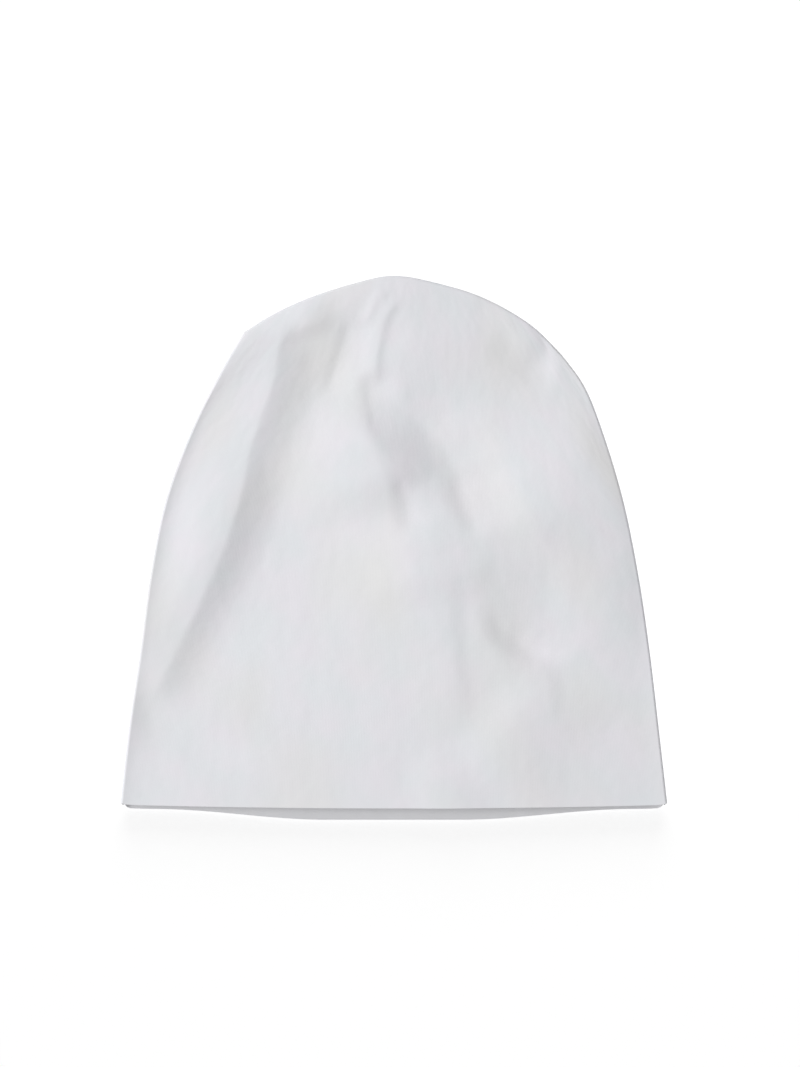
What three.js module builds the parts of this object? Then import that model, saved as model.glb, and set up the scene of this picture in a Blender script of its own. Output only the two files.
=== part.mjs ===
// A plain jersey beanie, laid flat on its back on a table. One tube of thin cotton jersey makes both its layers:
// it is folded at the rim, with no hem stitch, and four darts close it at the crown. The mouth is open.
// Millimetres. +X is to the right of someone who looks down on it with the crown away from them, +Y runs from the
// rim to the crown, and +Z points up from the table. The origin is on the table, under the middle of the beanie.
import * as THREE from "three";

const WALL = 1.6; // two layers of jersey
const HALF_RIM = 120.3; // half the width across the rim as it lies
const CORNER_Y = -111.4; // where each side edge ends at the rim
const CORNER_DROP = 1.7; // how far the rim turns down just inside its corners
const FRONT_BOW = 1.4; // how far the middle of the front rim reaches past its ends
const BACK_STEP = 2.2; // how far the back rim stands out all along
const BACK_BOW = 4.8; // how far its middle stands out beyond that, under the front rim
const EDGE_HEIGHT = 6.4; // how high the side and crown edges lie
const EDGE_UNDER = 7; // how far in from them the underside has come down to the table
const EDGE_OVER = 3.1; // how far in the front layer has turned over
const EDGE_LIFT = 5.8; // and how much higher it is there
const CLIMB_REACH = 7; // within what distance it then climbs or falls

// The outline as it lies: the left edge and the right edge, each from the rim to its side dart, and the crown
// between the two darts.
const LEFT_EDGE = [
  { x: -HALF_RIM, y: CORNER_Y },
  { x: -116.5, y: -78 },
  { x: -111.6, y: -45 },
  { x: -107.2, y: -12 },
  { x: -100.5, y: 21 },
  { x: -89, y: 52 },
  { x: -76, y: 78 },
  { x: -66, y: 95 },
];
const RIGHT_EDGE = [
  { x: HALF_RIM, y: CORNER_Y },
  { x: 116.5, y: -78 },
  { x: 112.6, y: -45 },
  { x: 107.7, y: -12 },
  { x: 101, y: 21 },
  { x: 92, y: 51 },
  { x: 84, y: 71 },
  { x: 74, y: 85 },
];
const CROWN_EDGE = [
  { x: -66, y: 95 },
  { x: -54, y: 102.5 },
  { x: -38, y: 110 },
  { x: -18, y: 116.5 },
  { x: 0, y: 120 },
  { x: 20, y: 116.5 },
  { x: 40, y: 110 },
  { x: 60, y: 98.5 },
  { x: 74, y: 85 },
];

// What the front layer does from the rim to the crown, in equal steps: how far it bulges in its middle, and how
// far it climbs beside its left and right edges. Below zero it falls, in a groove.
const BULGES = [1.2, 1.6, 1.8, 2.4, 2];
const LEFT_CLIMBS = [-1.4, -2.8, -4.8, -5, -4.8, -5, 1.6];
const RIGHT_CLIMBS = [-0.4, -0.6, -0.6, -0.6, 0, -0.8, -3];

// The folds and dents of the front layer. Each runs along a line from its crown end to its rim end. It reaches
// this far to the left and right of that line as the beanie is seen from above, and a softness near zero makes
// the crest sharp on that side. rise is its height, or below zero its depth, and it fades out over these shares
// of its length.
const FOLDS = [
  {
    name: "left ridge",
    line: [
      { x: -49, y: 106 },
      { x: -53, y: 76 },
      { x: -63, y: 45 },
      { x: -69, y: 18 },
      { x: -81, y: -14 },
      { x: -110, y: -72 },
    ],
    left: { reach: 60, soft: 1 },
    right: { reach: 20, soft: 0.08 },
    rise: 3.2,
    fade: { start: 0.12, end: 0.1 },
  },
  {
    name: "left streak",
    line: [
      { x: -54, y: 92 },
      { x: -64, y: 72 },
      { x: -73, y: 48 },
      { x: -82, y: 20 },
      { x: -90, y: -10 },
      { x: -102, y: -46 },
    ],
    left: { reach: 20, soft: 0.8 },
    right: { reach: 40, soft: 1 },
    rise: 1.5,
    fade: { start: 0.3, end: 0.35 },
  },
  {
    name: "left shoulder",
    line: [
      { x: -50, y: 106 },
      { x: -60, y: 84 },
      { x: -67, y: 62 },
      { x: -76, y: 36 },
      { x: -84, y: 10 },
    ],
    left: { reach: 22, soft: 0.9 },
    right: { reach: 70, soft: 1 },
    rise: -2,
    fade: { start: 0.25, end: 0.4 },
  },
  {
    name: "left hollow",
    line: [
      { x: -26, y: 98 },
      { x: -30, y: 64 },
      { x: -38, y: 36 },
      { x: -54, y: 0 },
      { x: -80, y: -44 },
      { x: -102, y: -76 },
    ],
    left: { reach: 28, soft: 0.8 },
    right: { reach: 100, soft: 1 },
    rise: -2.2,
    fade: { start: 0.2, end: 0.22 },
  },
  {
    name: "upper hollow",
    line: [{ x: -25, y: 96 }, { x: -26, y: 70 }, { x: -34, y: 46 }, { x: -44, y: 24 }],
    left: { reach: 24, soft: 0.8 },
    right: { reach: 60, soft: 1 },
    rise: -0.5,
    fade: { start: 0.25, end: 0.4 },
  },
  {
    name: "crown crease",
    line: [{ x: -56, y: 91 }, { x: -40, y: 97 }, { x: -24, y: 104 }],
    left: { reach: 8, soft: 0.3 },
    right: { reach: 14, soft: 0.8 },
    rise: 0.8,
    fade: { start: 0.3, end: 0.4 },
  },
  {
    name: "crown facet",
    line: [{ x: -44, y: 112 }, { x: -41, y: 101 }, { x: -41, y: 90 }],
    left: { reach: 24, soft: 0.9 },
    right: { reach: 10, soft: 0.6 },
    rise: 0.9,
    fade: { start: 0.1, end: 0.5 },
  },
  {
    name: "pleat",
    line: [{ x: -12, y: 112 }, { x: -20, y: 94 }, { x: -26, y: 78 }, { x: -34, y: 56 }],
    left: { reach: 20, soft: 0.3 },
    right: { reach: 44, soft: 0.8 },
    rise: -1.5,
    fade: { start: 0.35, end: 0.4 },
  },
  {
    name: "pleat edge",
    line: [{ x: -17, y: 104 }, { x: -20, y: 94 }, { x: -25, y: 78 }, { x: -31, y: 62 }],
    left: { reach: 6, soft: 0.3 },
    right: { reach: 11, soft: 0.5 },
    rise: -0.8,
    fade: { start: 0.3, end: 0.4 },
  },
  {
    name: "corner ridge",
    line: [{ x: -32, y: 112 }, { x: -32, y: 103 }, { x: -35, y: 90 }],
    left: { reach: 20, soft: 1 },
    right: { reach: 8, soft: 0.8 },
    rise: 0.4,
    fade: { start: 0.4, end: 0.4 },
  },
  {
    name: "dart streak",
    line: [{ x: -4, y: 116 }, { x: -9, y: 106 }, { x: -14, y: 97 }],
    left: { reach: 5, soft: 0.4 },
    right: { reach: 5, soft: 0.4 },
    rise: 0.6,
    fade: { start: 0.3, end: 0.3 },
  },
  {
    name: "front dart",
    line: [{ x: 4, y: 111 }, { x: -3, y: 102 }, { x: -6, y: 92 }, { x: -8, y: 82 }, { x: -8, y: 71 }],
    left: { reach: 9, soft: 0.8 },
    right: { reach: 5, soft: 0.12 },
    rise: 0.8,
    fade: { start: 0.2, end: 0.2 },
  },
  {
    name: "neck",
    line: [{ x: -11, y: 78 }, { x: -9, y: 60 }, { x: -4, y: 44 }],
    left: { reach: 8, soft: 0.3 },
    right: { reach: 16, soft: 0.8 },
    rise: -1.2,
    fade: { start: 0.25, end: 0.4 },
  },
  {
    name: "middle ridge",
    line: [{ x: -16, y: 74 }, { x: -12, y: 50 }, { x: -7, y: 36 }, { x: 2, y: 14 }],
    left: { reach: 50, soft: 1 },
    right: { reach: 26, soft: 0.2 },
    rise: 3.9,
    fade: { start: 0.5, end: 0.35 },
  },
  {
    name: "dent",
    line: [
      { x: -12, y: 80 },
      { x: 4, y: 63 },
      { x: 19, y: 50 },
      { x: 29, y: 33 },
      { x: 37, y: 10 },
      { x: 40, y: -8 },
    ],
    left: { reach: 25, soft: 0.25 },
    right: { reach: 70, soft: 1 },
    rise: -5.1,
    fade: { start: 0.4, end: 0.5 },
  },
  {
    name: "dent brim",
    line: [
      { x: 12, y: 84 },
      { x: 37, y: 62 },
      { x: 52, y: 40 },
      { x: 62, y: 18 },
      { x: 68, y: -6 },
      { x: 71, y: -30 },
    ],
    left: { reach: 18, soft: 0.7 },
    right: { reach: 26, soft: 0.8 },
    rise: 1,
    fade: { start: 0.25, end: 0.3 },
  },
  {
    name: "left leg",
    line: [{ x: 3, y: 34 }, { x: 6, y: 20 }, { x: 9, y: 6 }],
    left: { reach: 9, soft: 0.5 },
    right: { reach: 20, soft: 0.9 },
    rise: -1.3,
    fade: { start: 0.35, end: 0.3 },
  },
  {
    name: "right leg",
    line: [{ x: 25, y: 34 }, { x: 31, y: 20 }, { x: 38, y: 4 }],
    left: { reach: 9, soft: 0.3 },
    right: { reach: 34, soft: 0.9 },
    rise: -0.9,
    fade: { start: 0.3, end: 0.3 },
  },
  {
    name: "centre",
    line: [{ x: 10, y: 34 }, { x: 12, y: 8 }, { x: 16, y: -20 }, { x: 20, y: -50 }],
    left: { reach: 56, soft: 0.9 },
    right: { reach: 90, soft: 1 },
    rise: 2.6,
    fade: { start: 0.4, end: 0.5 },
  },
  {
    name: "belly",
    line: [{ x: 6, y: 16 }, { x: 10, y: -6 }, { x: 14, y: -28 }],
    left: { reach: 28, soft: 0.8 },
    right: { reach: 90, soft: 1 },
    rise: 1.6,
    fade: { start: 0.4, end: 0.4 },
  },
  {
    name: "lower dip",
    line: [{ x: 38, y: 16 }, { x: 46, y: -6 }, { x: 48, y: -34 }],
    left: { reach: 14, soft: 0.8 },
    right: { reach: 32, soft: 0.8 },
    rise: -0.6,
    fade: { start: 0.5, end: 0.5 },
  },
  {
    name: "crescent",
    line: [{ x: 41, y: -22 }, { x: 46, y: -37 }, { x: 55, y: -46 }, { x: 66, y: -50 }, { x: 78, y: -51 }],
    left: { reach: 11, soft: 0.5 },
    right: { reach: 44, soft: 1 },
    rise: -1.1,
    fade: { start: 0.35, end: 0.4 },
  },
  {
    name: "crescent crease",
    line: [{ x: 40, y: -26 }, { x: 45, y: -38 }, { x: 53, y: -46 }, { x: 64, y: -50 }, { x: 74, y: -50 }],
    left: { reach: 7, soft: 0.5 },
    right: { reach: 6, soft: 0.5 },
    rise: -0.6,
    fade: { start: 0.45, end: 0.3 },
  },
  {
    name: "crescent crest",
    line: [{ x: 35, y: -20 }, { x: 39, y: -38 }, { x: 48, y: -50 }, { x: 62, y: -54 }],
    left: { reach: 12, soft: 0.8 },
    right: { reach: 9, soft: 0.6 },
    rise: 0.5,
    fade: { start: 0.4, end: 0.4 },
  },
  {
    name: "lower ridge",
    line: [
      { x: 70, y: -48 },
      { x: 66, y: -62 },
      { x: 56, y: -74 },
      { x: 47, y: -88 },
      { x: 47, y: -104 },
      { x: 54, y: -120 },
    ],
    left: { reach: 22, soft: 0.8 },
    right: { reach: 40, soft: 0.7 },
    rise: 1.8,
    fade: { start: 0.35, end: 0.2 },
  },
  {
    name: "lower valley",
    line: [{ x: 72, y: -40 }, { x: 75, y: -58 }, { x: 76, y: -80 }],
    left: { reach: 9, soft: 0.8 },
    right: { reach: 24, soft: 1 },
    rise: -0.5,
    fade: { start: 0.5, end: 0.5 },
  },
  {
    name: "left crease",
    line: [{ x: -118, y: -74 }, { x: -98, y: -82 }, { x: -74, y: -88 }, { x: -50, y: -90 }],
    left: { reach: 16, soft: 0.9 },
    right: { reach: 12, soft: 0.6 },
    rise: -1,
    fade: { start: 0.2, end: 0.5 },
  },
  {
    name: "lower step",
    line: [{ x: 20, y: 0 }, { x: 25, y: -46 }, { x: 30, y: -90 }],
    left: { reach: 26, soft: 1 },
    right: { reach: 10, soft: 0.6 },
    rise: 0.8,
    fade: { start: 0.4, end: 0.4 },
  },
  {
    name: "hem step",
    line: [{ x: 21, y: -82 }, { x: 22, y: -98 }, { x: 24, y: -124 }],
    left: { reach: 20, soft: 1 },
    right: { reach: 24, soft: 0.8 },
    rise: 1.3,
    fade: { start: 0.5, end: 0.15 },
  },
  {
    name: "right dart",
    line: [{ x: 42, y: 109 }, { x: 54, y: 102 }, { x: 62, y: 93 }, { x: 67, y: 84 }],
    left: { reach: 14, soft: 0.7 },
    right: { reach: 4, soft: 0.3 },
    rise: 1.9,
    fade: { start: 0.4, end: 0.3 },
  },
  {
    name: "right dart dip",
    line: [{ x: 40, y: 90 }, { x: 50, y: 84 }, { x: 60, y: 80 }, { x: 70, y: 78 }],
    left: { reach: 9, soft: 0.5 },
    right: { reach: 12, soft: 0.8 },
    rise: -0.7,
    fade: { start: 0.35, end: 0.35 },
  },
  {
    name: "right roll",
    line: [{ x: 80, y: 78 }, { x: 90, y: 48 }, { x: 98, y: 16 }, { x: 102, y: -20 }, { x: 107, y: -70 }],
    left: { reach: 40, soft: 0.9 },
    right: { reach: 14, soft: 0.8 },
    rise: 1.8,
    fade: { start: 0.25, end: 0.4 },
  },
  {
    name: "right ridge",
    line: [{ x: 77, y: 4 }, { x: 79, y: -12 }, { x: 79, y: -30 }, { x: 76, y: -46 }],
    left: { reach: 14, soft: 0.8 },
    right: { reach: 40, soft: 0.9 },
    rise: 0.9,
    fade: { start: 0.35, end: 0.4 },
  },
  {
    name: "right corner",
    line: [{ x: 63, y: 98 }, { x: 66, y: 87 }, { x: 66, y: 77 }, { x: 64, y: 64 }],
    left: { reach: 18, soft: 0.7 },
    right: { reach: 7, soft: 0.5 },
    rise: -1.3,
    fade: { start: 0.35, end: 0.5 },
  },
];
const FOLD_STEPS = 32; // points along a fold's line
const EDGE_STEPS = 60; // points along each outline curve, to which distances are measured

const COLUMNS = 44; // across the front layer
const BACK_COLUMNS = 14; // across the back layer, which is flat between its rolled edges
const ROWS = 48; // from the rim to the crown
const EASE = 0.75; // how strongly columns and rows close up towards the edges and the crown
const RIM_STEPS = 3; // facets round the folded rim

const spline = (rows) => new THREE.SplineCurve(rows.map(({ x, y }) => new THREE.Vector2(x, y)));
const leftEdge = spline(LEFT_EDGE);
const rightEdge = spline(RIGHT_EDGE);
const crownEdge = spline(CROWN_EDGE);
const level = (rows) => spline(rows.map((height, i) => ({ x: i, y: height })));
const bulges = level(BULGES);
const leftClimbs = level(LEFT_CLIMBS);
const rightClimbs = level(RIGHT_CLIMBS);
const outline = [
  ...leftEdge.getPoints(EDGE_STEPS),
  ...crownEdge.getPoints(EDGE_STEPS).slice(1),
  ...rightEdge.getPoints(EDGE_STEPS).reverse().slice(1),
];

const { clamp, lerp, smoothstep } = THREE.MathUtils;
const rounded = (share, power) => Math.sqrt(Math.max(0, 1 - Math.abs(share) ** power));
const eased = (share, ease) => lerp(share, Math.sin((share * Math.PI) / 2), ease);

// Where the rim lies at a share across from -1 to 1, before the turned edge adds half a wall.
function rimPoint(across, back) {
  const inside = rounded(across, 40);
  const bow = back
    ? BACK_STEP * inside + BACK_BOW * smoothstep(1 - Math.abs(across), 0.12, 0.75)
    : FRONT_BOW * (1 - across ** 2);
  return new THREE.Vector2(across * HALF_RIM, CORNER_Y - CORNER_DROP * inside - bow);
}

// The place in plan at a share across from -1 to 1 and a share up from the rim to the crown: a patch that is
// stretched between the rim, the two edges and the crown.
function planPoint(across, up, back) {
  const right = (across + 1) / 2;
  const left = 1 - right;
  const down = 1 - up;
  const point = new THREE.Vector2()
    .addScaledVector(rimPoint(across, back), down)
    .addScaledVector(crownEdge.getPointAt(right), up)
    .addScaledVector(leftEdge.getPointAt(up), left)
    .addScaledVector(rightEdge.getPointAt(up), right);
  const corners = [
    [leftEdge.points[0], left * down],
    [rightEdge.points[0], right * down],
    [crownEdge.points[0], left * up],
    [crownEdge.points.at(-1), right * up],
  ];
  for (const [corner, weight] of corners) point.addScaledVector(corner, -weight);
  return point;
}

// A fold's line as distances along its own chord and aside from it.
const foldLines = FOLDS.map(({ line }) => {
  const points = spline(line).getSpacedPoints(FOLD_STEPS);
  const chord = points.at(-1).clone().sub(points[0]);
  const length = chord.length();
  const measure = (place) => {
    const offset = place.clone().sub(points[0]);
    return { along: offset.dot(chord) / length ** 2, aside: chord.cross(offset) / length };
  };
  return { measure, steps: points.map(measure) };
});

// How much one fold lifts the front layer at a place in plan.
function foldRise(fold, { measure, steps }, place) {
  const { along, aside } = measure(place);
  if (along <= 0 || along >= 1) return 0;
  const next = steps.findIndex((step) => step.along > along);
  const from = steps[next - 1];
  const to = steps[next];
  const line = lerp(from.aside, to.aside, (along - from.along) / (to.along - from.along));
  const { reach, soft } = aside > line ? fold.right : fold.left;
  const flank = Math.min(Math.abs(aside - line) / reach, 1);
  const slope = (Math.hypot(flank, soft) - soft) / (Math.hypot(1, soft) - soft);
  const ends = smoothstep(along, 0, fold.fade.start) * smoothstep(1 - along, 0, fold.fade.end);
  return fold.rise * ends * (1 - slope) ** 2;
}

// The distance in plan from the side and crown edges.
function edgeGap(place) {
  let gap = Infinity;
  for (let i = 1; i < outline.length; i++) {
    const run = outline[i].clone().sub(outline[i - 1]);
    const offset = place.clone().sub(outline[i - 1]);
    const share = clamp(offset.dot(run) / run.lengthSq(), 0, 1);
    gap = Math.min(gap, offset.addScaledVector(run, -share).length());
  }
  return gap;
}

// How far the cloth has turned over at this distance from its edge, from 0 to 1.
const turned = (gap, reach) => Math.sqrt(1 - Math.max(0, 1 - gap / reach) ** 2);

function frontPoint(across, up) {
  const place = planPoint(across, up, false);
  const gap = edgeGap(place);
  const inside = 1 - Math.exp(-gap / CLIMB_REACH);
  const leftClimb = leftClimbs.getPoint(up).y * ((1 - across) / 2) ** 3;
  const rightClimb = rightClimbs.getPoint(up).y * ((1 + across) / 2) ** 3;
  const bulge = bulges.getPoint(up).y * (1 - across ** 2);
  const folds = FOLDS.reduce((sum, fold, i) => sum + foldRise(fold, foldLines[i], place), 0);
  const edge = EDGE_HEIGHT + EDGE_LIFT * turned(gap, EDGE_OVER);
  return [place.x, place.y, edge + inside * (leftClimb + rightClimb + bulge + folds)];
}

function backPoint(across, up) {
  const place = planPoint(across, up, true);
  return [place.x, place.y, EDGE_HEIGHT * (1 - turned(edgeGap(place), EDGE_UNDER))];
}

// One layer of points: the front from the rim to the crown, then the back, which shares the two edges and the
// crown with it. Each row keeps its shares across with its points.
function makeRows(addPoint) {
  const sharesAcross = (count, ease) =>
    Array.from({ length: count + 1 }, (_, i) => eased((2 * i) / count - 1, ease));
  const up = Array.from({ length: ROWS + 1 }, (_, j) => eased(j / ROWS, EASE));
  const across = sharesAcross(COLUMNS, EASE);
  const acrossBack = sharesAcross(BACK_COLUMNS, 1).slice(1, -1);
  const front = up.map((u) => across.map((a) => ({ across: a, point: addPoint(frontPoint(a, u)) })));
  const back = up.map((u, j) => {
    if (j === ROWS) return front[j];
    const middle = acrossBack.map((a) => ({ across: a, point: addPoint(backPoint(a, u)) }));
    return [front[j][0], ...middle, front[j].at(-1)];
  });
  return { front, back };
}

// Triangles between two rows of points, which may differ in number.
function stitch(near, far, addFace) {
  let i = 0;
  let j = 0;
  while (i < near.length - 1 || j < far.length - 1) {
    const nearFirst = j === far.length - 1 || (i < near.length - 1 && near[i + 1].across <= far[j + 1].across);
    if (nearFirst) addFace(near[i].point, near[++i].point, far[j].point);
    else addFace(near[i].point, far[++j].point, far[j - 1].point);
  }
}

function makeShell() {
  const points = [];
  const faces = [];
  const addPoint = (xyz) => points.push(new THREE.Vector3(...xyz)) - 1;
  const addFace = (a, b, c) => {
    if (a !== b && b !== c && c !== a) faces.push([a, b, c]);
  };
  const { front, back } = makeRows(addPoint);
  for (let j = 0; j < ROWS; j++) {
    stitch(front[j], front[j + 1], addFace);
    stitch(back[j], back[j + 1], (a, b, c) => addFace(a, c, b));
  }

  // The inner face is the outer one moved in by the wall, so that the cloth is equally thick all over.
  const skin = new THREE.BufferGeometry().setFromPoints(points).setIndex(faces.flat());
  skin.computeVertexNormals();
  const normal = new THREE.Vector3();
  const outerCount = points.length;
  for (let i = 0; i < outerCount; i++) {
    normal.fromBufferAttribute(skin.attributes.normal, i);
    points.push(points[i].clone().addScaledVector(normal, -WALL));
  }
  for (const [a, b, c] of faces.slice()) faces.push([a + outerCount, c + outerCount, b + outerCount]);

  // The rim is a fold: half a turn from the outer face to the inner one.
  const mouth = [...front[0], ...back[0].slice(1, -1).reverse()].map(({ point }) => point);
  const rings = [mouth];
  for (let k = 1; k < RIM_STEPS; k++) {
    const turn = (Math.PI * k) / RIM_STEPS;
    rings.push(
      mouth.map((i) => {
        const middle = points[i].clone().lerp(points[i + outerCount], 0.5);
        const toOuter = points[i].clone().sub(middle);
        const place = middle.addScaledVector(toOuter, Math.cos(turn));
        return addPoint([place.x, place.y - (WALL / 2) * Math.sin(turn), place.z]);
      }),
    );
  }
  rings.push(mouth.map((i) => i + outerCount));
  for (let k = 0; k < RIM_STEPS; k++) {
    mouth.forEach((_, i) => {
      const next = (i + 1) % mouth.length;
      faces.push([rings[k][i], rings[k + 1][i], rings[k + 1][next]]);
      faces.push([rings[k][i], rings[k + 1][next], rings[k][next]]);
    });
  }
  return new THREE.BufferGeometry().setFromPoints(points).setIndex(faces.flat());
}

const jersey = new THREE.MeshStandardMaterial({ color: 0xf0f2f5, roughness: 0.95, metalness: 0 });
const beanie = new THREE.Mesh(makeShell(), jersey);
beanie.name = "jersey_shell";

const part = new THREE.Group();
part.add(beanie);

export default part;
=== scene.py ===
"""A plain white jersey beanie, laid flat on its back on a pale table and seen from above.

The beanie is one tube of thin cotton jersey, doubled by folding it at the rim and closed at the crown by
darts. The front dart and the right dart show. X is to the right, Y from the rim to the crown and Z up from
the table. Lengths in the tables of the beanie are millimetres. Every Blender object is in metres, in the
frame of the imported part.
"""

import math
from collections import namedtuple

import bpy
import numpy as np
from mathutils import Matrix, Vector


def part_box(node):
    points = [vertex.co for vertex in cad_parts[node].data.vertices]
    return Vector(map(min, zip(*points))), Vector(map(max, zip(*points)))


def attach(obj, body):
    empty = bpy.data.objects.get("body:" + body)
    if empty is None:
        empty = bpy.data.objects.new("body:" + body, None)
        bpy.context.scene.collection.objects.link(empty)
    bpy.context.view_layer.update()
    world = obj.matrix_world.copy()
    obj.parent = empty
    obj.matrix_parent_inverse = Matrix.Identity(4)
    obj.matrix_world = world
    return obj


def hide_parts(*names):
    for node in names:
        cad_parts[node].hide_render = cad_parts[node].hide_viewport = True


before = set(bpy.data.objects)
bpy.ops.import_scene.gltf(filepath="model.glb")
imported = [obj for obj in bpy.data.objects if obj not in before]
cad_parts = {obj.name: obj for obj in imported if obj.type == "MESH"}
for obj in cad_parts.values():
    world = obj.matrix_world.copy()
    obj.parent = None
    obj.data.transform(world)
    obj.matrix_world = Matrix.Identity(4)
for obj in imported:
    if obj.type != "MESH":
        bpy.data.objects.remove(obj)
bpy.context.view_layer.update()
low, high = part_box("jersey_shell")

# ----------------------------------------------------------------------------------------------------
# The form as it lies
# ----------------------------------------------------------------------------------------------------

HALF_RIM = 120.3  # half the width across the rim
UNIT = (high.x - low.x) / 2 / HALF_RIM  # metres for each millimetre of the tables, taken from the frame
WALL = 1.6  # two layers of jersey
CORNER_Y = -111.4  # where each side edge ends at the rim
CORNER_DROP = 1.2  # how far the rim reaches past that, just inside its corners
CORNER_SQUARENESS = 40  # how suddenly it does so: a higher power is a squarer corner
FRONT_BOW = 1.4  # how far the middle of the front rim reaches past its ends
BACK_STEP = 2.8  # how far the back rim stands out from the front rim's ends, all along
BACK_BOW = 4.8  # how far its middle stands out beyond that
BACK_BOW_START = 0.12  # shares of half the rim, from a corner, at which that bow starts and is whole
BACK_BOW_WHOLE = 0.75
EDGE_HEIGHT = 6.4  # how high the side and crown edges lie
EDGE_UNDER = 7.0  # how far in from them the back layer has come down to the table
EDGE_OVER = 1.3  # how far in from them the front layer has turned over
EDGE_LIFT = 5.8  # how much higher it is there
EDGE_SLACK = 0.05  # what lies this close to an edge is on it
CLIMB_REACH = 7.0  # the length over which the climbs, bulges and folds of the front fade out at its edges

# The outline as (x, y): the left and right edges from the rim up to the crown, and the crown between them.
LEFT_EDGE = [
    (-120.3, -111.4), (-116.5, -78), (-111.6, -45), (-107.2, -12),
    (-100.5, 21), (-89, 52), (-76, 78), (-66, 95),
]
RIGHT_EDGE = [
    (120.3, -111.4), (116.5, -78), (112.6, -45), (107.7, -12),
    (101, 21), (92, 51), (84, 71), (74, 85),
]
CROWN_EDGE = [
    (-66, 95), (-54, 102.5), (-38, 110), (-18, 116.5), (0, 120),
    (20, 116.5), (40, 110), (60, 98.5), (74, 85),
]
# Heights that the front layer gains, or loses where they are below zero, from the rim to the crown in equal
# steps: beside its left edge, beside its right edge, and between them.
LEFT_CLIMBS = [-1.4, -2.8, -4.8, -5.0, -4.8, -5.0, 1.6]
RIGHT_CLIMBS = [-0.4, -0.6, -0.6, -0.6, 0.0, -0.8, -3.0]
BULGES = [1.2, 1.6, 1.8, 2.4, 2.0]

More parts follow.
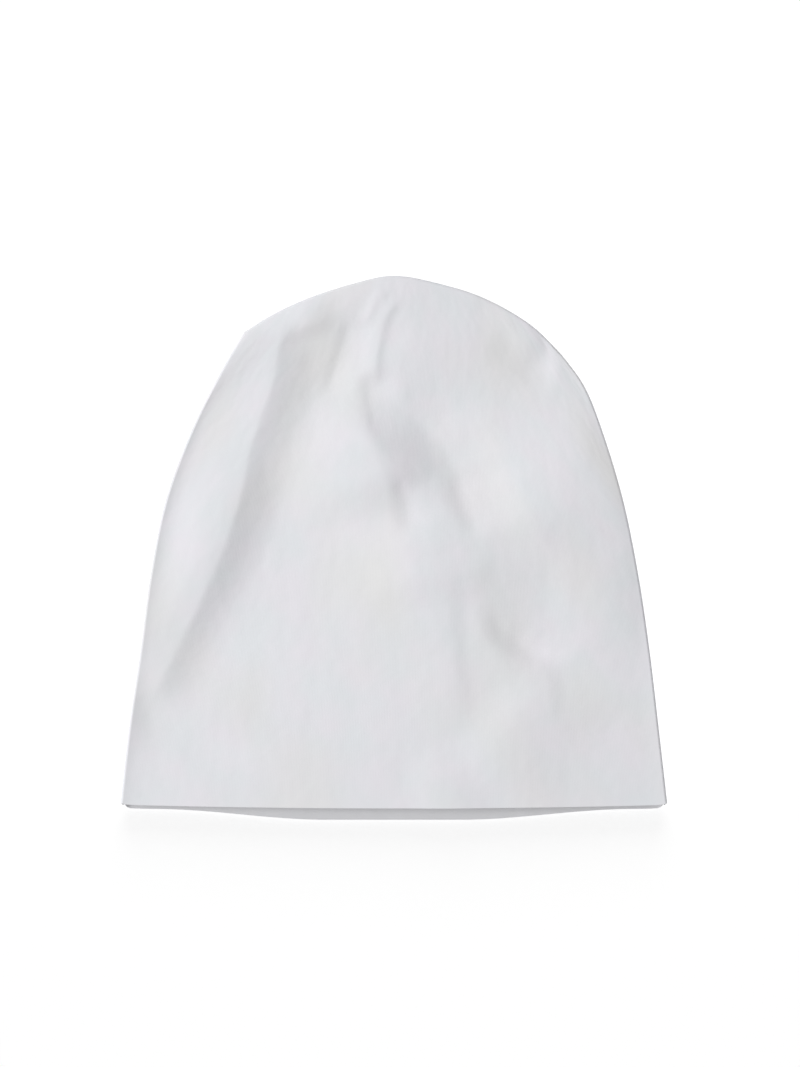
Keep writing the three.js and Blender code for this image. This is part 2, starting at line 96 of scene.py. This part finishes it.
# A fold follows a line of points, and its left and right flanks reach so far from that line. Where it runs
# from the crown to the rim, left is towards -X and right towards +X. Where it runs towards +X, left is
# towards -Y and right towards +Y. A flank whose softness is near zero makes the crest sharp. The rise is
# below zero for a valley, and it fades in and out over these shares of the line's length.
Fold = namedtuple("Fold", "name line left left_soft right right_soft rise fade_in fade_out")
FOLDS = [
    # The left third: a long ridge with a deep hollow at its right.
    Fold("left ridge", [(-49, 106), (-53, 76), (-63, 45), (-69, 18), (-81, -14), (-110, -72)],
         60, 1, 20, 0.08, 3.2, 0.12, 0.1),
    Fold("left streak", [(-54, 92), (-64, 72), (-73, 48), (-82, 20), (-90, -10), (-102, -46)],
         20, 0.8, 40, 1, 1.5, 0.3, 0.35),
    Fold("left shoulder", [(-50, 106), (-60, 84), (-67, 62), (-76, 36), (-84, 10)],
         22, 0.9, 70, 1, -2.0, 0.25, 0.4),
    Fold("left hollow", [(-26, 98), (-30, 64), (-38, 36), (-54, 0), (-80, -44), (-102, -76)],
         28, 0.8, 100, 1, -2.2, 0.2, 0.22),
    Fold("upper hollow", [(-25, 96), (-26, 70), (-34, 46), (-44, 24)],
         24, 0.8, 60, 1, -0.5, 0.25, 0.4),
    # The crown and its front dart.
    Fold("crown crease", [(-56, 91), (-40, 97), (-24, 104)],
         8, 0.3, 14, 0.8, 0.8, 0.3, 0.4),
    Fold("crown facet", [(-44, 112), (-41, 101), (-41, 90)],
         24, 0.9, 10, 0.6, 0.9, 0.1, 0.5),
    Fold("pleat", [(-12, 112), (-20, 94), (-26, 78), (-34, 56)],
         20, 0.3, 44, 0.8, -1.5, 0.35, 0.4),
    Fold("pleat edge", [(-17, 104), (-20, 94), (-25, 78), (-31, 62)],
         6, 0.3, 11, 0.5, -0.8, 0.3, 0.4),
    Fold("corner ridge", [(-32, 112), (-32, 103), (-35, 90)],
         20, 1, 8, 0.8, 0.4, 0.4, 0.4),
    Fold("dart streak", [(-4, 116), (-9, 106), (-14, 97)],
         5, 0.4, 5, 0.4, 0.6, 0.3, 0.3),
    Fold("front dart", [(4, 111), (-3, 102), (-6, 92), (-8, 82), (-8, 71)],
         9, 0.8, 5, 0.12, 0.8, 0.2, 0.2),
    # The dent under the dart, with a leg running down at each side.
    Fold("neck", [(-11, 78), (-9, 60), (-4, 44)],
         8, 0.3, 16, 0.8, -1.2, 0.25, 0.4),
    Fold("middle ridge", [(-16, 74), (-12, 50), (-7, 36), (2, 14)],
         50, 1, 26, 0.2, 3.9, 0.5, 0.35),
    Fold("dent", [(-12, 80), (4, 63), (19, 50), (29, 33), (37, 10), (40, -8)],
         25, 0.25, 70, 1, -5.1, 0.4, 0.5),
    Fold("dent brim", [(12, 84), (37, 62), (52, 40), (62, 18), (68, -6), (71, -30)],
         18, 0.7, 26, 0.8, 1.0, 0.25, 0.3),
    Fold("left leg", [(3, 34), (6, 20), (9, 6)],
         9, 0.5, 20, 0.9, -1.3, 0.35, 0.3),
    Fold("right leg", [(25, 34), (31, 20), (38, 4)],
         9, 0.3, 34, 0.9, -0.9, 0.3, 0.3),
    # The lower middle, and the crescent at its right.
    Fold("centre", [(10, 34), (12, 8), (16, -20), (20, -50)],
         56, 0.9, 90, 1, 2.6, 0.4, 0.5),
    Fold("belly", [(6, 16), (10, -6), (14, -28)],
         28, 0.8, 90, 1, 1.6, 0.4, 0.4),
    Fold("lower dip", [(38, 16), (46, -6), (48, -34)],
         14, 0.8, 32, 0.8, -0.6, 0.5, 0.5),
    Fold("crescent", [(42, -20), (48, -34), (58, -42), (70, -46), (82, -48)],
         12, 0.7, 44, 1, -1.1, 0.4, 0.35),
    Fold("crescent crease", [(41, -25), (47, -36), (56, -43), (67, -46), (78, -47)],
         7, 0.6, 6, 0.5, -0.5, 0.5, 0.3),
    Fold("crescent tip", [(50, -34), (57, -43), (68, -49)],
         8, 0.4, 14, 0.8, -0.8, 0.4, 0.4),
    Fold("crescent crest", [(35, -20), (39, -38), (48, -50), (62, -54)],
         12, 0.8, 9, 0.6, 0.5, 0.4, 0.4),
    # The folds that run down to the rim.
    Fold("lower ridge", [(70, -48), (66, -62), (56, -74), (47, -88), (47, -104), (54, -120)],
         22, 0.8, 40, 0.7, 1.8, 0.35, 0.34),
    Fold("lower valley", [(72, -40), (75, -58), (76, -80)],
         9, 0.8, 24, 1, -0.5, 0.5, 0.5),
    Fold("left crease", [(-118, -74), (-98, -82), (-74, -88), (-50, -90)],
         16, 0.9, 12, 0.6, -1.0, 0.2, 0.5),
    Fold("lower step", [(20, 0), (25, -46), (30, -90)],
         26, 1, 10, 0.6, 0.8, 0.4, 0.4),
    Fold("hem step", [(21, -82), (22, -98), (24, -124)],
         20, 1, 24, 0.8, 1.3, 0.5, 0.15),
    # The right side and its dart.
    Fold("right dart", [(42, 109), (54, 102), (62, 93), (67, 84)],
         14, 0.7, 4, 0.3, 1.9, 0.4, 0.3),
    Fold("right dart dip", [(40, 90), (50, 84), (60, 80), (70, 78)],
         9, 0.5, 12, 0.8, -0.7, 0.35, 0.35),
    Fold("right roll", [(80, 78), (90, 48), (98, 16), (102, -20), (107, -70)],
         40, 0.9, 14, 0.8, 1.8, 0.25, 0.4),
    Fold("right ridge", [(77, 4), (79, -12), (79, -30), (76, -46)],
         14, 0.8, 40, 0.9, 0.9, 0.35, 0.4),
    Fold("right corner", [(63, 98), (66, 87), (66, 77), (64, 64)],
         18, 0.7, 7, 0.5, -1.3, 0.35, 0.5),
]
FOLD_STEPS = 48  # steps along a fold's line, to which distances are measured
EDGE_POINTS = 60  # points along each edge, to which distances are measured
ARC_POINTS = 401  # points by which a curve's length is measured


def spline(points, share):
    """Points on the smooth curve through the given ones, which lie at equal shares of it from 0 to 1."""
    points = np.asarray(points, float)
    place = np.clip(share, 0, 1) * (len(points) - 1)
    i = np.minimum(place.astype(int), len(points) - 2)
    t = (place - i)[..., None]
    before = points[np.maximum(i - 1, 0)]
    here = points[i]
    ahead = points[i + 1]
    beyond = points[np.minimum(i + 2, len(points) - 1)]
    leaving = (ahead - before) / 2
    arriving = (beyond - here) / 2
    bend = (2 * here - 2 * ahead + leaving + arriving) * t**3
    swing = (3 * ahead - 3 * here - 2 * leaving - arriving) * t**2
    return bend + swing + leaving * t + here


def evenly(points, share):
    """Points on the smooth curve through the given ones, at shares of its length."""
    t = np.linspace(0, 1, ARC_POINTS)
    steps = np.linalg.norm(np.diff(spline(points, t), axis=0), axis=1)
    length = np.concatenate([[0], np.cumsum(steps)])
    return spline(points, np.interp(np.clip(share, 0, 1) * length[-1], length, t))


def level(heights, up):
    """The smooth height at shares from the rim to the crown, between heights in equal steps."""
    return spline([(height, 0) for height in heights], up)[..., 0]


def smoothstep(value, start, end):
    """0 up to the start, 1 from the end, and eased between them."""
    t = np.clip((value - start) / (end - start), 0, 1)
    return t * t * (3 - 2 * t)


def rim_point(across, back):
    """Where the front or back rim lies in plan, at shares across from -1 to 1."""
    inside = np.sqrt(np.maximum(0, 1 - np.abs(across) ** CORNER_SQUARENESS))
    bow = FRONT_BOW * (1 - across**2)
    if back:
        bow = BACK_BOW * smoothstep(1 - np.abs(across), BACK_BOW_START, BACK_BOW_WHOLE)
        bow = BACK_STEP * inside + bow
    return np.stack([across * HALF_RIM, CORNER_Y - CORNER_DROP * inside - bow], -1)


def plan_point(across, up, back):
    """Places in plan on a patch stretched between the rim, the two edges and the crown."""
    right = ((across + 1) / 2)[..., None]
    left = 1 - right
    above = up[..., None]
    below = 1 - above
    point = rim_point(across, back) * below + evenly(CROWN_EDGE, right[..., 0]) * above
    point += evenly(LEFT_EDGE, up) * left
    point += evenly(RIGHT_EDGE, up) * right
    point -= np.array(LEFT_EDGE[0]) * left * below + np.array(RIGHT_EDGE[0]) * right * below
    point -= np.array(CROWN_EDGE[0]) * left * above + np.array(CROWN_EDGE[-1]) * right * above
    return point


def fold_rise(fold, place):
    """How much one fold lifts the front layer at places in plan, measured along and across its own chord."""
    line = evenly(fold.line, np.linspace(0, 1, FOLD_STEPS + 1))
    chord = line[-1] - line[0]
    length = np.linalg.norm(chord)

    def along_and_aside(point):
        offset = point - line[0]
        turned_off = chord[0] * offset[..., 1] - chord[1] * offset[..., 0]
        return offset @ chord / length**2, turned_off / length

    along, aside = along_and_aside(place)
    off_line = aside - np.interp(along, *along_and_aside(line))
    flank = np.minimum(np.abs(off_line) / np.where(off_line > 0, fold.right, fold.left), 1)
    soft = np.where(off_line > 0, fold.right_soft, fold.left_soft)
    slope = (np.hypot(flank, soft) - soft) / (np.hypot(1, soft) - soft)
    ends = smoothstep(along, 0, fold.fade_in) * smoothstep(1 - along, 0, fold.fade_out)
    return fold.rise * ends * (1 - slope) ** 2


def edge_gap(place):
    """Distance in plan from the side and crown edges."""
    t = np.linspace(0, 1, EDGE_POINTS)
    line = np.concatenate([
        spline(LEFT_EDGE, t),
        spline(CROWN_EDGE, t)[1:],
        spline(RIGHT_EDGE, t)[-2::-1],
    ])
    gap = np.full(place.shape[:-1], np.inf)
    for start, run in zip(line[:-1], np.diff(line, axis=0)):
        offset = place - start
        share = np.clip(offset @ run / (run @ run), 0, 1)
        gap = np.minimum(gap, np.linalg.norm(offset - share[..., None] * run, axis=-1))
    return np.maximum(gap - EDGE_SLACK, 0)


def turned(gap, reach):
    """How far the cloth has turned over at this distance from its edge, from 0 to 1."""
    return np.sqrt(1 - np.maximum(0, 1 - gap / reach) ** 2)


def front_point(across, up):
    """Points of the front layer, which turns over at its edges and carries the climbs, bulges and folds."""
    place = plan_point(across, up, back=False)
    gap = edge_gap(place)
    inside = 1 - np.exp(-gap / CLIMB_REACH)
    climb = level(LEFT_CLIMBS, up) * ((1 - across) / 2) ** 3
    climb = climb + level(RIGHT_CLIMBS, up) * ((1 + across) / 2) ** 3
    bulge = level(BULGES, up) * (1 - across**2)
    folds = sum(fold_rise(fold, place) for fold in FOLDS)
    height = EDGE_HEIGHT + EDGE_LIFT * turned(gap, EDGE_OVER) + inside * (climb + bulge + folds)
    return np.column_stack([place, height])


def back_point(across, up):
    """Points of the back layer, which comes down from its edges to lie flat on the table."""
    place = plan_point(across, up, back=True)
    return np.column_stack([place, EDGE_HEIGHT * (1 - turned(edge_gap(place), EDGE_UNDER))])


# ----------------------------------------------------------------------------------------------------
# Tools
# ----------------------------------------------------------------------------------------------------


def only(obj):
    """Makes obj the one selected, active object."""
    bpy.ops.object.select_all(action="DESELECT")
    obj.select_set(True)
    bpy.context.view_layer.objects.active = obj


def finish_with(obj, kind, **settings):
    """Adds a modifier of this kind to obj and applies it."""
    only(obj)
    modifier = obj.modifiers.new(kind.title(), kind)
    for name, value in settings.items():
        setattr(modifier, name, value)
    bpy.ops.object.modifier_apply(modifier=modifier.name)


class Value:
    """A shader socket that takes Python's plus and times, each as one Math node."""

    def __init__(self, material, socket):
        self.material = material
        self.socket = socket

    def maths(self, operation, *values):
        return self.material.node("ShaderNodeMath", operation=operation, inputs=values)

    def __add__(self, other):
        return self.maths("ADD", self, other)

    def __mul__(self, other):
        return self.maths("MULTIPLY", self, other)

    __radd__ = __add__
    __rmul__ = __mul__


class Material:
    """A new node material with one Principled shader."""

    def __init__(self, name, **constants):
        self.data = bpy.data.materials.new(name)
        self.data.use_nodes = True
        self.nodes = self.data.node_tree.nodes
        self.links = self.data.node_tree.links
        self.shader = self.nodes["Principled BSDF"]
        for socket, value in constants.items():
            self.shader.inputs[socket.replace("_", " ")].default_value = value

    def feed(self, value, socket):
        """Links a Value to the socket, or sets a constant on it."""
        if isinstance(value, Value):
            self.links.new(value.socket, socket)
        else:
            socket.default_value = value

    def node(self, kind, inputs=(), output=0, **settings):
        """One node with its settings made first, then the values or links of its sockets."""
        made = self.nodes.new(kind)
        for name, value in settings.items():
            setattr(made, name, value)
        pairs = inputs.items() if isinstance(inputs, dict) else enumerate(inputs)
        for socket, value in pairs:
            self.feed(value, made.inputs[socket])
        return Value(self, made.outputs[output])

    def drive(self, socket, value):
        """Feeds a socket of the shader."""
        self.feed(value, self.shader.inputs[socket])


# ----------------------------------------------------------------------------------------------------
# The beanie
# ----------------------------------------------------------------------------------------------------

FRONT_COLUMNS = 250  # across the front layer
BACK_COLUMNS = 50  # across the back layer, which is plain
ALL_COLUMNS = FRONT_COLUMNS + BACK_COLUMNS
FRONT_TO_BACK = FRONT_COLUMNS / BACK_COLUMNS  # columns of the front that meet one of the back at the crown
ROWS = 150  # from the rim to the crown
EASE = 0.7  # how strongly columns and rows close up towards the edges and the crown
RIM_CLOSING = 12  # rows also close up towards the rim, in the first twelfth of them
SEWN_GAP = 0.02  # points closer than this are sewn into one
RIM_ROUND = 0.55  # how far the fold at the rim is rounded
RIM_SEGMENTS = 2  # faces of that rounding
RIM_ANGLE = 60  # edges that turn by more degrees than this are the rim's

# The jersey's colours, as red, green, blue and alpha.
COOL_WHITE = (0.792, 0.811, 0.84, 1)
LILAC_WHITE = (0.824, 0.808, 0.85, 1)
WARM_WHITE = (0.802, 0.798, 0.798, 1)
# The last is painted shade: the inner wall and rim lie in shade under the front layer and are coloured
# darker, though they are the same jersey.
INSIDE_PAINTED_SHADE = (0.69, 0.69, 0.71, 1)

# Noise over the cloth: how many patches to the metre, how many finer layers it has, and how far it is drawn
# out along the wales.
Noise = namedtuple("Noise", "scale detail stretch")
LILAC_PATCHES = Noise(46.0, 2.0, 1.0)
WARM_PATCHES = Noise(20.0, 1.0, 1.3)
NAP = Noise(1400.0, 2.0, 1.0)
CRUMPLES = Noise(46.0, 2.0, 1.5)
RIPPLES = Noise(150.0, 1.0, 1.0)
LILAC_ENDS = (0.35, 0.65)  # the noise at which the tint starts and is whole
WARM_ENDS = (0.45, 0.75)

# The relief, with heights in metres.
WALES_PER_METRE = 1400
WAVES_IN_UNIT = 20 / math.tau  # waves of the wave texture in one unit, at a scale of 1
WALE_HEIGHT = 0.000014
NAP_HEIGHT = 0.00003
CRUMPLE_HEIGHT = 0.0006
RIPPLE_HEIGHT = 0.00016


def eased(share):
    return share + EASE * (np.sin(share * math.pi / 2) - share)


def make_tube():
    """One sheet of jersey rolled into a tube, laid flat, given its folds, and sewn at its side and crown."""
    bpy.ops.object.select_all(action="DESELECT")
    bpy.ops.mesh.primitive_grid_add(x_subdivisions=ALL_COLUMNS, y_subdivisions=ROWS, size=2)
    tube = bpy.context.object
    tube.name = "jersey_beanie"
    tube.data.name = "jersey_beanie"
    flat = np.empty(len(tube.data.vertices) * 3)
    tube.data.vertices.foreach_get("co", flat)
    flat = flat.reshape(-1, 3)
    column = (flat[:, 0] + 1) / 2 * ALL_COLUMNS
    row = (flat[:, 1] + 1) / 2

    # The first columns are the front layer, from left to right, and the others the back layer, from right to
    # left. In the last row, at the crown, the front is gathered, so that its points meet those of the back.
    front = column < FRONT_COLUMNS + 0.5
    at_crown = row > 1 - 0.5 / ROWS
    gathered = np.round(column / FRONT_TO_BACK) * FRONT_TO_BACK
    column = np.where(front & at_crown, gathered, column)
    rightwards = column / FRONT_COLUMNS * 2
    leftwards = (FRONT_COLUMNS - column) / BACK_COLUMNS * 2 + 2
    across = eased(np.where(front, rightwards, leftwards) - 1)
    up = eased(row) * (1 - np.exp(-row * RIM_CLOSING))
    shape = np.where(front[:, None], front_point(across, up), back_point(across, up)) * UNIT
    tube.data.vertices.foreach_set("co", shape.ravel())
    round_tube = np.where(front, across + 1, 3 - across) * HALF_RIM * UNIT
    lay_knit(tube, round_tube, up * (high.y - low.y))

    only(tube)
    bpy.ops.object.mode_set(mode="EDIT")
    bpy.ops.mesh.select_all(action="SELECT")
    bpy.ops.mesh.remove_doubles(threshold=SEWN_GAP * UNIT)
    bpy.ops.object.mode_set(mode="OBJECT")
    return tube


def lay_knit(tube, round_tube, from_rim):
    """Sets the UV map to the cloth's own metres: round the tube, and up from the rim."""
    corners = np.empty(len(tube.data.loops), int)
    tube.data.loops.foreach_get("vertex_index", corners)
    cloth = np.column_stack([round_tube, from_rim])
    tube.data.uv_layers.active.data.foreach_set("uv", cloth[corners].ravel())


def make_beanie():
    """The tube with a thick wall and a rounded rim. A vertex group holds its inner wall and rim, which the
    jersey darkens as painted shade.
    """
    beanie = make_tube()
    beanie.vertex_groups.new(name="inside")
    finish_with(
        beanie, "SOLIDIFY", thickness=WALL * UNIT, offset=-1, use_even_offset=False,
        shell_vertex_group="inside", rim_vertex_group="inside",
    )
    finish_with(
        beanie, "BEVEL", width=RIM_ROUND * UNIT, segments=RIM_SEGMENTS,
        limit_method="ANGLE", angle_limit=math.radians(RIM_ANGLE),
    )
    only(beanie)
    bpy.ops.object.shade_smooth()
    return beanie


def jersey():
    """White cotton jersey: knitted wales in relief, a soft nap, faint crumples, lilac and warm tints,
    painted inside shade.
    """
    cloth = Material("white_jersey", Roughness=0.85, Sheen_Weight=0.25, Sheen_Roughness=0.5)
    uv = cloth.node("ShaderNodeUVMap", uv_map="UVMap")

    def noise(kind):
        """Noise of this kind in the cloth's own plane, from 0 to 1."""
        along_wales = (1, 1 / kind.stretch, 1)
        place = cloth.node("ShaderNodeVectorMath", operation="MULTIPLY", inputs=(uv, along_wales))
        values = {"Vector": place, "Scale": kind.scale, "Detail": kind.detail}
        return cloth.node("ShaderNodeTexNoise", inputs=values)

    def patches(kind, ends):
        """The share of a tint, which is none where this noise is below its ends and whole above them."""
        values = {0: noise(kind), 1: ends[0], 2: ends[1], 3: 0, 4: 1}
        return cloth.node("ShaderNodeMapRange", inputs=values)

    def tinted(share, base, tint):
        values = {0: share, 6: base, 7: tint}
        return cloth.node("ShaderNodeMix", data_type="RGBA", output=2, inputs=values)

    colour = tinted(patches(LILAC_PATCHES, LILAC_ENDS), COOL_WHITE, LILAC_WHITE)
    colour = tinted(patches(WARM_PATCHES, WARM_ENDS), colour, WARM_WHITE)
    # Painted shade: the inner wall and rim, held in the vertex group, take the darker inside colour.
    inside = cloth.node("ShaderNodeAttribute", attribute_name="inside", output=2)
    colour = tinted(inside, colour, INSIDE_PAINTED_SHADE)
    cloth.drive("Base Color", colour)

    wales = cloth.node(
        "ShaderNodeTexWave", wave_type="BANDS", bands_direction="X",
        inputs={"Vector": uv, "Scale": WALES_PER_METRE / WAVES_IN_UNIT, "Distortion": 0.0},
        output=1,
    )
    relief = noise(NAP) * NAP_HEIGHT + wales * WALE_HEIGHT
    relief = relief + noise(CRUMPLES) * CRUMPLE_HEIGHT + noise(RIPPLES) * RIPPLE_HEIGHT
    values = {"Strength": 1.0, "Distance": 1.0, "Height": relief}
    cloth.drive("Normal", cloth.node("ShaderNodeBump", inputs=values))
    return cloth.data


# ----------------------------------------------------------------------------------------------------
# Table, light and camera
# ----------------------------------------------------------------------------------------------------

# Lengths here are metres.
TABLE_SIZE = 4.0
TABLE_GLOW = 0.715  # the table's own light, which keeps it pale round the beanie
WORLD_BRIGHTNESS = 0.24
LIGHT_DISTANCE = 5.0
VIEW_WIDTH = 0.3542  # what the camera takes in across the table
VIEW_CENTRE = (0.0027, 0.0064)
VIEW_DEPTH = 10  # the farthest that the camera sees
LENS_MM = 120
SENSOR_MM = 36


def make_table():
    bpy.ops.object.select_all(action="DESELECT")
    bpy.ops.mesh.primitive_plane_add(size=TABLE_SIZE)
    table = bpy.context.object
    table.name = "table"
    paper = Material(
        "pale_table", Base_Color=(0.9, 0.9, 0.9, 1), Roughness=0.9,
        Emission_Color=(1, 1, 1, 1), Emission_Strength=TABLE_GLOW,
    )
    table.data.materials.append(paper.data)
    return table


def make_light(name, azimuth, tilt, size, power, unseen_by=None):
    """A square softbox aimed at the beanie, so many degrees anticlockwise from +X and from the vertical."""
    light = bpy.data.lights.new(name, "AREA")
    light.size = size
    light.energy = power
    lamp = bpy.data.objects.new(name, light)
    bpy.context.scene.collection.objects.link(lamp)
    turn = math.radians(azimuth)
    tip = math.radians(tilt)
    away = LIGHT_DISTANCE * math.sin(tip)
    lamp.location = (away * math.cos(turn), away * math.sin(turn), LIGHT_DISTANCE * math.cos(tip))
    lamp.rotation_euler = (tip, 0, turn + math.pi / 2)
    if unseen_by:
        unlit = bpy.data.collections.new(name + "_lights")
        unlit.objects.link(unseen_by)
        unlit.collection_objects[0].light_linking.link_state = "EXCLUDE"
        lamp.light_linking.receiver_collection = unlit


def make_camera():
    """A camera that looks straight down on the table."""
    camera = bpy.data.cameras.new("camera")
    camera.lens = LENS_MM
    camera.sensor_width = SENSOR_MM
    camera.sensor_fit = "HORIZONTAL"
    camera.clip_end = VIEW_DEPTH
    stand = bpy.data.objects.new("camera", camera)
    bpy.context.scene.collection.objects.link(stand)
    stand.location = (*VIEW_CENTRE, VIEW_WIDTH * LENS_MM / SENSOR_MM)
    bpy.context.scene.camera = stand


def make_world():
    """An even white light from all round."""
    world = bpy.data.worlds.new("world")
    bpy.context.scene.world = world
    world.use_nodes = True
    world.node_tree.nodes["Background"].inputs["Color"].default_value = (1, 1, 1, 1)
    world.node_tree.nodes["Background"].inputs["Strength"].default_value = WORLD_BRIGHTNESS


make_camera()
make_world()
table = make_table()
make_light("left_softbox", azimuth=185, tilt=38, size=3.0, power=198, unseen_by=table)
make_light("back_softbox", azimuth=90, tilt=60, size=3.0, power=48)

beanie = make_beanie()
beanie.data.materials.clear()
beanie.data.materials.append(jersey())
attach(beanie, "root")
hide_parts("jersey_shell")

scene = bpy.context.scene
scene.view_settings.view_transform = "Standard"
scene.view_settings.exposure = 0.0
